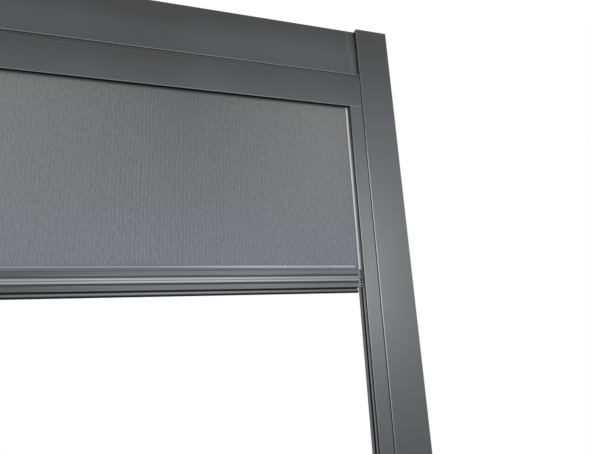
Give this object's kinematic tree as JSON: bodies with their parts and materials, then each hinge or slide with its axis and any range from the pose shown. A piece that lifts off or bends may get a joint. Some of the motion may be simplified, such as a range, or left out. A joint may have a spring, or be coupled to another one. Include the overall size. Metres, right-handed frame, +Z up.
{
  "type": "motorised zip screen",
  "caption": "Motor-driven roller screen in a post and beam bay: cassette over the opening, zip guide rails on the posts, grey screen fabric and a weighted bottom bar.",
  "frame": {"origin": "on the floor, in the middle between the two floor plates", "axes": "+Z up, +X along the bay towards the motor end, -Y towards the front of the cassette"},
  "size_m": [1.506, 0.19, 2.603],
  "materials": {
    "powder_coat": "matte anthracite powder coat on extruded aluminium",
    "cast_bracket": "die-cast aluminium, dark coated",
    "zinc_steel": "zinc-plated steel",
    "plain_steel": "plain bright steel",
    "bare_aluminium": "mill-finish extruded aluminium",
    "black_plastic": "black moulded plastic",
    "grey_plastic": "dark grey moulded plastic",
    "strip_plastic": "light grey ridged PVC strip",
    "pale_plastic": "pale moulded plastic",
    "foam": "closed-cell foam strip",
    "rubber": "black EPDM rubber",
    "copper_winding": "enamelled copper on steel laminations",
    "gear_metal": "sintered metal gearbox sleeves",
    "white_button": "white button",
    "yellow_button": "yellow button",
    "screen_fabric": "woven coated glass-fibre screen cloth",
    "zip_tape": "pale welded zip tape with moulded coil"
  },
  "bodies": {
    "frame": {"left_post": "powder_coat", "right_post": "powder_coat", "post_caps": "powder_coat", "post_bases": "zinc_steel", "base_screws": "plain_steel", "top_beam": "powder_coat", "beam_connectors": "zinc_steel", "connector_bolts": "zinc_steel", "cassette_back": "powder_coat", "left_end_plate": "cast_bracket", "right_end_plate": "cast_bracket", "end_plate_screws": "plain_steel", "cassette_screws": "plain_steel", "slot_brush": "black_plastic", "cable_grommet": "rubber", "idler_bearing": "plain_steel", "idler_bracket": "cast_bracket", "motor_bracket": "cast_bracket", "bracket_screws": "zinc_steel", "motor_head": "black_plastic", "motor_tube": "zinc_steel", "limit_unit": "pale_plastic", "capacitor": "bare_aluminium", "motor_brake": "plain_steel", "motor_stator": "copper_winding", "gearbox": "gear_metal", "left_guide": "powder_coat", "right_guide": "powder_coat", "left_guide_cover": "powder_coat", "right_guide_cover": "powder_coat", "left_zip_insert": "black_plastic", "right_zip_insert": "black_plastic", "insert_cushions": "foam", "guide_gaskets": "rubber", "guide_funnels": "black_plastic", "guide_feet": "black_plastic", "guide_screws": "plain_steel"},
    "cover": {"front_cover": "powder_coat", "slot_strip": "rubber"},
    "roller": {"roller_tube": "bare_aluminium", "fabric_roll": "screen_fabric", "idler_plug": "black_plastic", "idler_pin": "plain_steel", "drive_shaft": "plain_steel", "drive_wheel": "black_plastic", "drive_clip": "plain_steel", "limit_crown": "pale_plastic"},
    "rotor": {"motor_rotor": "plain_steel"},
    "bar": {"screen_fabric": "screen_fabric", "left_zip": "zip_tape", "right_zip": "zip_tape", "hem_keder": "screen_fabric", "bottom_bar": "powder_coat", "bar_strips": "strip_plastic", "bar_weight": "plain_steel", "bar_end_caps": "grey_plastic", "bar_seal": "rubber"},
    "up_button": {"up_limit_button": "white_button"},
    "down_button": {"down_limit_button": "yellow_button"}
  },
  "joints": [
    {"name": "bar_travel", "type": "slide", "parent": "frame", "child": "bar", "axis": [0, 0, -1], "range_m": [-0.53, 1.645], "deforming": ["screen_fabric", "left_zip", "right_zip"]},
    {"name": "roller_spin", "type": "hinge", "parent": "frame", "child": "roller", "pos_m": [0, 0.006, 2.358], "axis": [1, 0, 0], "range_deg": [-825, 2557]},
    {"name": "rotor_spin", "type": "hinge", "parent": "frame", "child": "rotor", "pos_m": [0, 0.006, 2.358], "axis": [1, 0, 0], "continuous": true},
    {"name": "cover_swing", "type": "hinge", "parent": "frame", "child": "cover", "pos_m": [0, -0.0505, 2.4158], "axis": [-1, 0, 0], "range_deg": [0, 75]},
    {"name": "up_button_press", "type": "slide", "parent": "frame", "child": "up_button", "axis": [0, 1, 0], "range_m": [0, 0.002], "stiffness_N_per_m": 400},
    {"name": "down_button_press", "type": "slide", "parent": "frame", "child": "down_button", "axis": [0, 1, 0], "range_m": [0, 0.002], "stiffness_N_per_m": 400}
  ],
  "couplings": [
    {"joint": "roller_spin", "follows": "bar_travel", "rad_per_m": 27.1},
    {"joint": "rotor_spin", "follows": "bar_travel", "rad_per_m": 2222.2}
  ]
}
